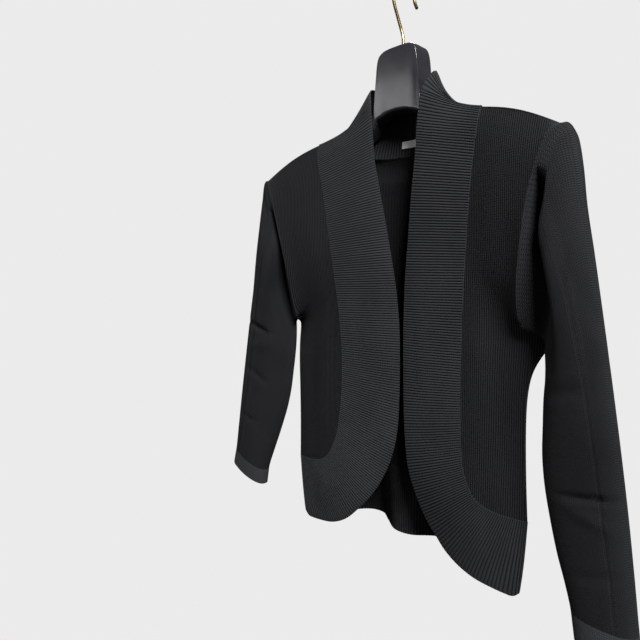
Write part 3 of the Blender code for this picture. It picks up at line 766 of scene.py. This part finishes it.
mixed = stitches.nodes.new("ShaderNodeMix")
stitches.links.new(entry.outputs["Groove"], mixed.inputs["Factor"])
stitches.links.new(loop_height, mixed.inputs["A"])
stitches.links.new(rounding, mixed.inputs["B"])
stitches.links.new(mixed.outputs["Result"], stitch_exit.inputs["Height"])
print("group:", stitches.name)

# %% A node group for fuzz and uneven dye
fuzz, _, fuzz_exit = node_group("yarn_fuzz", (), ("Shade", "Fibre"))
fuzz_place = object_place(fuzz)
fuzz.links.new(noise(fuzz, fuzz_place, 14.0, 3.0), fuzz_exit.inputs["Shade"])
fuzz.links.new(noise(fuzz, fuzz_place, 900.0, 2.0), fuzz_exit.inputs["Fibre"])
print("group:", fuzz.name)


# %% A finish for each stitch
def knit_finish(name, wales, courses, groove, relief, groove_shade, light):
    """A black knit: stitches raised by relief metres, with painted shade in the grooves and a painted
    highlight on the raised yarn.
    """
    material, tree, shader = new_finish(name)
    shader.inputs["Roughness"].default_value = 0.85
    shader.inputs["Specular IOR Level"].default_value = 0.12
    shader.inputs["Sheen Weight"].default_value = 0.02
    shader.inputs["Sheen Roughness"].default_value = 0.5
    shader.inputs["Sheen Tint"].default_value = (0.75, 0.85, 0.85, 1.0)
    stitch = tree.nodes.new("ShaderNodeGroup")
    stitch.node_tree = stitches
    for socket, value in (("Wales", wales), ("Courses", courses), ("Groove", groove)):
        stitch.inputs[socket].default_value = value
    yarn = tree.nodes.new("ShaderNodeGroup")
    yarn.node_tree = fuzz
    height = stitch.outputs["Height"]
    spread = maths(tree, "MULTIPLY_ADD", yarn.outputs["Shade"], 0.5, -0.25)
    # The stitch height paints shade into the grooves and a highlight onto the raised yarn; the dye noise only
    # varies the tone at random.
    mix_tones(tree, maths(tree, "ADD", height, spread), groove_shade, light, shader.inputs["Base Color"])
    fuzzy_height = maths(tree, "MULTIPLY_ADD", yarn.outputs["Fibre"], 0.25, height)
    raise_relief(tree, shader, fuzzy_height, 1.0, relief)
    return material


# The two tones of each finish below are the painted shade in its grooves and the painted highlight on its
# yarn.
RIB_PITCH = 0.0034
body_knit = knit_finish(
    "body_knit", wales=455.0, courses=420.0, groove=0.85, relief=0.0014,
    groove_shade=(0.0010, 0.0011, 0.0013), light=(0.0195, 0.0201, 0.0217),
)
sleeve_knit = knit_finish(
    "sleeve_knit", wales=520.0, courses=480.0, groove=0.30, relief=0.0006,
    groove_shade=(0.004, 0.0042, 0.0048), light=(0.028, 0.0288, 0.031),
)
rib_knit = knit_finish(
    "rib_knit", wales=1 / RIB_PITCH, courses=430.0, groove=0.80, relief=0.0005,
    groove_shade=(0.0020, 0.0021, 0.0024), light=(0.040, 0.0415, 0.0440),
)
cuff_knit = knit_finish(
    "cuff_knit", wales=560.0, courses=520.0, groove=0.40, relief=0.0003,
    groove_shade=(0.028, 0.0300, 0.0330), light=(0.051, 0.0540, 0.0590),
)
# The seam cords' tones are lighter than the body's: a painted highlight along each raised seam line.
seam_highlight_knit = knit_finish(
    "seam_highlight_knit", wales=600.0, courses=600.0, groove=0.3, relief=0.0002,
    groove_shade=(0.016, 0.017, 0.018), light=(0.045, 0.047, 0.050),
)
print("finishes:", [m.name for m in (body_knit, sleeve_knit, rib_knit, cuff_knit, seam_highlight_knit)])


def dress(piece, node, material):
    """Gives a finished piece its finish and its place on the body, and hides the hard-frame part that it
    stands for.
    """
    piece.data.materials.clear()
    piece.data.materials.append(material)
    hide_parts(node)
    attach(piece, "root")


# %% [markdown]
# ## The rib border
# The border is knitted sideways, so its ribs run across it: level down the fronts, fanning round the
# corners and upright along the hem. A rib is a round ridge between two narrow grooves. The ribs are real
# relief here, six steps to each, because they show along the edges and catch the light.

# %% Lay both halves of the border
RIB_HEIGHT = 0.0007
RIB_STEPS = 6
BAND_COLUMNS = 14
SELVEDGE = 0.02


def rib_relief(ribs, edge_distance):
    """Height of round ribs with narrow grooves, fading out in the last stitch before a free edge."""
    wave = np.abs(np.sin(math.pi * ribs)) ** 0.7
    return RIB_HEIGHT * wave * np.clip(edge_distance / SELVEDGE, 0.25, 1)


for side, word in SIDES:
    ribs = np.linspace(0.0, RIB_COUNT[-1], int(RIB_COUNT[-1]) * RIB_STEPS + 1)
    rows = np.interp(ribs, RIB_COUNT, np.arange(BAND_ROWS + 1))
    across = np.linspace(0.0, 1.0, BAND_COLUMNS + 1)
    grid = band_surface(side, rows, across)
    soft = creased(grid, [
        (side * 5.5 + 1.0, -33.0, 84.0, 34.0, 1.3, 0.10, -1),
        (side * 2.6 + 0.9, -30.0, 97.0, 26.0, 0.9, -0.08, -1),
        (side * 7.0, -52.5, 62.0, 9.0, 0.9, 0.14, -1),
        (side * 11.0, -53.5, 80.0, 8.0, 1.1, -0.12, -1),
    ])
    soft[:, -1] = grid[:, -1]
    points = lowered(turned_corner(soft))
    points += sheet_normals(points, side) * rib_relief(ribs[:, None], across[None, :])[..., None]
    width = np.linalg.norm(grid[:, -1] - grid[:, 0], axis=1)[:, None] * CM
    pattern = run_map(grid, ribs[:, None] * RIB_PITCH, across[None, :] * width)
    band = lay_cloth("band_cloth_" + word, points, side, pattern)
    dress(band, "band_" + word, rib_knit)

# %% [markdown]
# ## The body
# The two fronts and the back are flat knit panels. Their wales run straight up and down, so the pattern is
# mapped by height and width, and the panels keep that straight grain right up to the slanting armholes.

# %% Lay the fronts
for side, word in SIDES:
    down = np.linspace(0.0, 1.0, 221)
    across = np.linspace(0.0, 1.0, 49)
    grid = front_surface(side, down, across)
    soft = creased(grid, [
        (side * 10.6, -36.0, 89.0, 26.0, 1.2, -0.16, -1),
        (side * 13.2, -40.0, 92.0, 20.0, 1.0, 0.12, -1),
        (side * 12.4, -20.0, 90 - side * 10.0, 14.0, 1.4, -0.12, -1),
        (side * 14.4, -25.5, 90 - side * 6.0, 11.0, 1.1, 0.14, -1),
    ])
    soft = keep_edges(grid, soft, down, across, 0.12, 0.04)
    panel = lay_cloth("front_cloth_" + word, lowered(soft), side, flat_map(soft))
    dress(panel, "front_" + word, body_knit)

# %% Lay the back
down = np.linspace(0.0, 1.0, 201)
across = np.linspace(0.0, 1.0, 157)
grid = back_surface(down, across)
soft = creased(grid, [
    (-9.5, -30.0, 86.0, 30.0, 1.5, 0.18, 1),
    (-4.0, -34.0, 92.0, 24.0, 1.3, -0.14, 1),
    (4.5, -31.0, 88.0, 28.0, 1.4, -0.16, 1),
    (10.0, -29.0, 95.0, 26.0, 1.3, 0.18, 1),
    (13.5, -27.0, 62.0, 10.0, 0.8, 0.16, 1),
    (-13.5, -27.0, 118.0, 10.0, 0.8, 0.16, 1),
    (0.0, -15.0, 2.0, 16.0, 0.9, 0.08, 1),
])
soft = keep_edges(grid, soft, down, across, 0.06, 0.05)
back = lay_cloth("back_cloth", lowered(soft), -1, flat_map(soft))
dress(back, "back", body_knit)

# %% [markdown]
# The back's hem border is ribbed upright, like the rest of the border, and it follows the deep flutes in
# which the back hangs.

# %% Lay the back's hem border
HEM_RIBS = 104
HEM_DEPTH = 0.08
ribs = np.linspace(0.0, HEM_RIBS, HEM_RIBS * RIB_STEPS + 1)
down = np.linspace(0.0, 1.0, 15)
grid = back_hem_surface(down, ribs / HEM_RIBS)
points = lowered(turned_corner(grid))
points += sheet_normals(points, -1) * rib_relief(ribs[None, :], 1 - down[:, None])[..., None]
pattern = run_map(grid, ribs[None, :] * RIB_PITCH, down[:, None] * HEM_DEPTH)
back_hem = lay_cloth("band_cloth_back_hem", points, -1, pattern)
dress(back_hem, "band_back_hem", rib_knit)

# %% [markdown]
# ## The sleeves
# Each sleeve hangs nearly flat from the armhole. Close to the body it turns through a deep vertical fold
# before its tube begins. A few creases cross the elbow and the lower arm, the left and right ones in
# different places.

# %% Lay the sleeves
SLEEVE_CREASES = {
    1: [
        (22.4, -45.5, 8.0, 7.0, 0.30, 0.34, -1),
        (22.6, -47.2, -14.0, 6.0, 0.6, -0.16, -1),
        (20.6, -36.5, 20.0, 5.0, 0.6, 0.16, -1),
        (22.8, -30.0, -62.0, 9.0, 0.7, 0.15, -1),
        (21.0, -24.5, 75.0, 9.0, 0.6, -0.14, -1),
        (23.6, -52.0, 18.0, 5.0, 0.5, 0.12, -1),
        (21.5, -42.0, -15.0, 6.5, 0.6, 0.20, 1),
        (22.5, -34.0, 20.0, 6.5, 0.7, 0.18, 1),
        (22.0, -27.0, 70.0, 9.0, 0.8, 0.16, 1),
    ],
    -1: [
        (-21.0, -33.0, -16.0, 7.5, 0.35, 0.36, -1),
        (-20.6, -35.4, 8.0, 6.5, 0.6, -0.16, -1),
        (-22.0, -39.5, -22.0, 6.0, 0.5, 0.18, -1),
        (-20.8, -26.0, 66.0, 9.0, 0.7, 0.15, -1),
        (-23.6, -46.0, -10.0, 5.5, 0.5, 0.14, -1),
        (-21.0, -34.0, 14.0, 7.0, 0.6, 0.22, 1),
        (-22.5, -41.0, -12.0, 6.0, 0.6, 0.16, 1),
        (-21.6, -25.0, -68.0, 9.0, 0.8, 0.16, 1),
    ],
}


def creased_on_face(grid, rows):
    """Creases only the face of a flat tube that each row names, by which side of its middle a point is."""
    middle = grid.mean(axis=1, keepdims=True)
    moved = grid.copy()
    for row in rows:
        face = row[-1]
        weight = np.clip((grid[..., 1] - middle[..., 1]) * face / 0.6, 0, 1)
        moved += (creased(grid, [row]) - grid) * weight[..., None]
    return moved


SLEEVE_GIRTH = 0.19
AROUND = np.linspace(0.0, 1.0, 109)

for side, word in SIDES:
    rings = np.concatenate([np.linspace(0.0, 6.0, 73), np.linspace(6.0, CUFF_SEAM_RING, 141)[1:]])
    grid = tube_surface(side, smooth_rows(sleeve_table(side), rings), AROUND)
    soft = creased_on_face(grid, SLEEVE_CREASES[side])
    fade = ramp(np.minimum(rings, CUFF_SEAM_RING - rings), 0.0, 0.8)[:, None, None]
    soft = grid + (soft - grid) * fade
    length = np.linalg.norm(np.diff(grid, axis=0), axis=2)
    along = np.concatenate([np.zeros((1, len(AROUND))), np.cumsum(length, axis=0)]) * CM
    pattern = run_map(grid, AROUND[None, :] * SLEEVE_GIRTH, along)
    sleeve = lay_cloth("sleeve_cloth_" + word, lowered(soft), -side, pattern, closed=True)
    dress(sleeve, "sleeve_" + word, sleeve_knit)

# %% Lay the cuffs
CUFF_GIRTH = 0.13
CUFF_DEPTH = 0.026

for side, word in SIDES:
    table = sleeve_table(side)
    down = np.linspace(0.0, 1.0, 13)[:, None]
    grid = tube_surface(side, table[CUFF_SEAM_RING] + (table[-1] - table[CUFF_SEAM_RING]) * down, AROUND)
    pattern = run_map(grid, AROUND[None, :] * CUFF_GIRTH, down * CUFF_DEPTH)
    cuff = lay_cloth("cuff_cloth_" + word, lowered(grid), -side, pattern, closed=True)
    dress(cuff, "cuff_" + word, cuff_knit)

# %% [markdown]
# ## The seams
# The pieces are linked together, which leaves a fine raised line along each seam. A thin round cord that is
# half sunk into the cloth gives that line, and it also closes the hair-wide gap between the panels. The
# cord's finish is lighter than the body's, a painted highlight along the raised line.


# %% Lay a raised line along each seam
SEAM_RADIUS = 0.0008
FINE_SEAM_RADIUS = 0.0005
SEAM_SINK = 0.0005
SHOULDER_SINK = 0.0006


def round_wire(name, places, radius, roundness):
    """A thin round wire along the places."""
    curve = bpy.data.curves.new(name, "CURVE")
    curve.dimensions = "3D"
    curve.bevel_depth = radius
    curve.bevel_resolution = roundness
    curve.use_fill_caps = True
    spline = curve.splines.new("POLY")
    spline.points.add(len(places) - 1)
    spline.points.foreach_set("co", np.column_stack([places, np.ones(len(places))]).ravel())
    wire = bpy.data.objects.new(name, curve)
    bpy.context.scene.collection.objects.link(wire)
    return wire


def seam_line(points, sink, radius=SEAM_RADIUS):
    """A thin tube along the points, sunk into the cloth by moving it along sink."""
    return round_wire("seam", lowered(points) + sink, radius, 1)


def joined_mesh(wires):
    """Turns wires into one mesh object."""
    bpy.ops.object.select_all(action="DESELECT")
    for wire in wires:
        wire.select_set(True)
    bpy.context.view_layer.objects.active = wires[0]
    bpy.ops.object.convert(target="MESH")
    if len(wires) > 1:
        bpy.ops.object.join()
    return bpy.context.object


for side, word in SIDES:
    steps = np.linspace(0.0, 1.0, 240)
    hole = np.linspace(0.0, 1.0, 80)
    side_steps = np.linspace(ARMHOLE_STEPS / FRONT_ROWS, 1.0, 60)
    inward = np.array([0.0, SEAM_SINK, 0.0])
    sideways = np.array([-SEAM_SINK * side, 0.0, 0.0])
    seams = joined_mesh([
        seam_line(band_seam(side, NECK_ROWS + steps * (FRONT_ROWS + HEM_ROWS)), inward),
        seam_line(band_seam(side, steps[::4] * NECK_ROWS), -inward),
        seam_line(mirrored(shoulder_edge(steps[::6]), side), np.array([0.0, 0.0, -SHOULDER_SINK])),
        seam_line(mirrored(armhole(True, hole), side), inward, FINE_SEAM_RADIUS),
        seam_line(mirrored(armhole(False, hole), side), -inward, FINE_SEAM_RADIUS),
        seam_line(mirrored(outer_edge(True, side_steps), side), sideways),
    ])
    seams.name = "seam_lines_" + word
    seams.data.materials.clear()
    seams.data.materials.append(seam_highlight_knit)
    bpy.ops.object.shade_smooth()
    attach(seams, "root")
    print(seams.name, len(seams.data.polygons))

# %% [markdown]
# ## The label
# A short white tape is sewn inside the collar, over the back neck. It is left plain.

# %% Sew in the plain label
LABEL_GAP = 0.25
LABEL_RISE = 0.12
LABEL_BOW = 0.02

label_steps = np.linspace(-0.95, 0.95, 25)
drops = np.linspace(0.79, 0.90, 7)
strips = []
for reach in label_steps:
    pair = np.array([abs(reach), abs(reach) + 0.01])
    strips.append(band_surface(1 if reach >= 0 else -1, pair, drops)[0])
tape = np.stack(strips, axis=1)
tape[..., 1] += LABEL_BOW * np.cos(tape[..., 0] * 2.2) - LABEL_GAP
tape[..., 2] += LABEL_RISE
pattern = run_map(tape, label_steps[None, :] * 0.02, drops[:, None] * 0.05)
label = lay_cloth("label_tape", lowered(tape), 1, pattern, thickness=0.0005)

tape_cloth, tape_tree, tape_shader = new_finish("tape_cloth")
tape_shader.inputs["Roughness"].default_value = 0.7
weave = tape_tree.nodes.new("ShaderNodeTexWave")
weave.inputs["Scale"].default_value = 400.0
weave.inputs["Distortion"].default_value = 1.0
tape_tree.links.new(object_place(tape_tree), weave.inputs["Vector"])
mix_tones(
    tape_tree, weave.outputs["Fac"], (0.86, 0.86, 0.85), (0.94, 0.94, 0.93), tape_shader.inputs["Base Color"]
)
dress(label, "neck_label", tape_cloth)

# %% [markdown]
# ## The hanger
# The hanger is one glossy moulding: a tall, flat-fronted neck that spreads into two broad arms. It is drawn
# as rounded sections along its length. Its edges are soft, and its gloss shows the light as long pale
# streaks.

# %% Loft the hanger
# Columns: x, middle y, top z, bottom z, half depth
HANGER_SECTIONS = np.array([
    (0.00, 0.00, -0.50, -7.60, 1.40),
    (1.20, 0.00, -0.53, -7.70, 1.40),
    (2.05, 0.00, -0.72, -7.95, 1.40),
    (2.60, 0.00, -1.35, -8.10, 1.38),
    (2.90, 0.00, -3.60, -8.25, 1.36),
    (3.20, 0.00, -6.60, -8.60, 1.34),
    (3.80, -0.05, -7.90, -9.40, 1.28),
    (5.00, -0.35, -9.20, -10.60, 1.00),
    (6.00, -0.60, -10.00, -11.10, 0.90),
    (7.00, -0.82, -10.55, -11.60, 0.80),
    (8.50, -1.10, -11.15, -12.30, 0.85),
    (10.00, -1.25, -11.40, -12.90, 0.95),
    (13.00, -1.75, -11.45, -14.10, 1.08),
    (16.00, -2.40, -12.65, -15.30, 1.03),
    (18.20, -3.05, -13.95, -16.00, 0.80),
])
EDGE_ROUNDING = 0.42


def hanger_outline(row, steps):
    """A rounded box across the arm, steps points to each corner."""
    x, middle, top, bottom, depth = row
    round_by = min(EDGE_ROUNDING, (top - bottom) / 2.5, depth / 2.2)
    points = []
    for turn, y_sign, z_edge in ((90, 1, top), (0, 1, bottom), (-90, -1, bottom), (180, -1, top)):
        centre_y = middle + y_sign * (depth - round_by)
        centre_z = z_edge + (round_by if z_edge == bottom else -round_by)
        for angle in np.radians(turn - np.linspace(0, 90, steps)):
            points.append((x, centre_y + round_by * math.cos(angle), centre_z + round_by * math.sin(angle)))
    return points


mirror_row = np.array([-1.0, 1.0, 1.0, 1.0, 1.0])
half = smooth_rows(HANGER_SECTIONS, np.linspace(0, len(HANGER_SECTIONS) - 1, 113))
all_rows = np.concatenate([half[:0:-1] * mirror_row, half])
outline = np.stack([hanger_outline(row, 7) for row in all_rows])
outline = np.concatenate([outline, outline[:, :1]], axis=1)
hanger = lay_cloth(
    "hanger_moulding", lowered(outline), -1, outline[..., :2] * CM, closed=True, thickness=None
)
bpy.ops.object.mode_set(mode="EDIT")
bpy.ops.mesh.select_all(action="DESELECT")
bpy.ops.mesh.select_non_manifold()
bpy.ops.mesh.edge_face_add()
bpy.ops.mesh.select_all(action="SELECT")
bpy.ops.mesh.normals_make_consistent(inside=False)
bpy.ops.object.mode_set(mode="OBJECT")
bpy.ops.object.shade_smooth_by_angle(angle=math.radians(40))
print("hanger faces:", len(hanger.data.polygons))

# %% Give the hanger its gloss
plastic, plastic_tree, plastic_shader = new_finish("black_gloss")
plastic_shader.inputs["Specular IOR Level"].default_value = 1.0
haze = noise(plastic_tree, object_place(plastic_tree), 35.0, 6.0)
ranged(plastic_tree, haze, (0.14, 0.34), plastic_shader.inputs["Roughness"])
mix_tones(
    plastic_tree, haze, (0.016, 0.016, 0.020), (0.034, 0.034, 0.042), plastic_shader.inputs["Base Color"]
)
raise_relief(plastic_tree, plastic_shader, haze, 0.15, 0.0004)
dress(hanger, "hanger_body", plastic)

# %% [markdown]
# ## The hook
# The hook is one length of brass-coloured wire: a short stem, a lean, and a round top. The wire is swept
# along its route as a round tube that narrows at its tip.

# %% Bend the hook
WIRE_RADIUS = 0.00175

# The wire's centre line in its plane, from its foot over the round top to its tip. Columns: x, z
HOOK_LINE = np.array([
    (0.00, -0.17),
    (0.00, 0.55),
    (-0.11, 1.10),
    (-0.45, 2.20),
    (-0.83, 3.40),
    (-1.23, 4.70),
    (-1.40, 5.60),
    (-1.24, 6.45),
    (-0.74, 7.02),
    (0.00, 7.191),
    (0.74, 7.02),
    (1.20, 6.45),
    (1.38, 5.60),
    (1.44, 4.70),
    (1.56, 3.95),
    (1.84, 3.26),
])
TIP_NARROWING = 0.7
places = np.concatenate([np.linspace(0, len(HOOK_LINE) - 1.08, 120), [len(HOOK_LINE) - 1.0]])
route = lowered(np.insert(smooth_rows(HOOK_LINE, places), 1, 0.0, axis=1))
wire = round_wire("hook_wire", route, WIRE_RADIUS, 5)
wire.data.splines[0].points[-1].radius = TIP_NARROWING
wire = joined_mesh([wire])
bpy.ops.object.shade_smooth_by_angle(angle=math.radians(50))
print("hook faces:", len(wire.data.polygons))

# %% Polish the brass, which is darker up the wire
brass, brass_tree, brass_shader = new_finish("hook_brass")
brass_shader.inputs["Metallic"].default_value = 1.0
brass_place = object_place(brass_tree)
darkening = brass_tree.nodes.new("ShaderNodeMapRange")
darkening.inputs["From Min"].default_value = -0.066
darkening.inputs["From Max"].default_value = -0.050
brass_tree.links.new(split(brass_tree, brass_place)["Z"], darkening.inputs["Value"])
tarnish = noise(brass_tree, brass_place, 160.0, 5.0)
uneven = maths(brass_tree, "MULTIPLY_ADD", tarnish, 0.4, -0.2)
darker_up_wire_with_tarnish = maths(brass_tree, "ADD", darkening.outputs["Result"], uneven)
# The wire is darker up its length from a pale foot, with random tarnish over it.
mix_tones(brass_tree, darker_up_wire_with_tarnish, (0.62, 0.52, 0.28), (0.13, 0.09, 0.045), brass_shader.inputs["Base Color"])
ranged(brass_tree, tarnish, (0.18, 0.40), brass_shader.inputs["Roughness"])
dress(wire, "hanger_hook", brass)

# %% Turn the small black collar at the wire's foot
COLLAR_RADIUS = 0.0026
COLLAR_HEIGHT = 0.0027
COLLAR_MIDDLE = NECK_TOP + 0.00165 - HOOK_RISE

bpy.ops.object.select_all(action="DESELECT")
bpy.ops.mesh.primitive_cylinder_add(
    vertices=48, radius=COLLAR_RADIUS, depth=COLLAR_HEIGHT, location=(0, 0, COLLAR_MIDDLE)
)
ferrule = bpy.context.object
ferrule.name = "wire_collar"
bpy.ops.object.transform_apply(location=True, rotation=True, scale=True)
rounded_rim = ferrule.modifiers.new("rounding", "BEVEL")
rounded_rim.width = 0.0005
rounded_rim.segments = 3
bpy.ops.object.modifier_apply(modifier=rounded_rim.name)
bpy.ops.object.shade_smooth_by_angle(angle=math.radians(40))
dress(ferrule, "hook_ferrule", plastic)
print("collar faces:", len(ferrule.data.polygons))
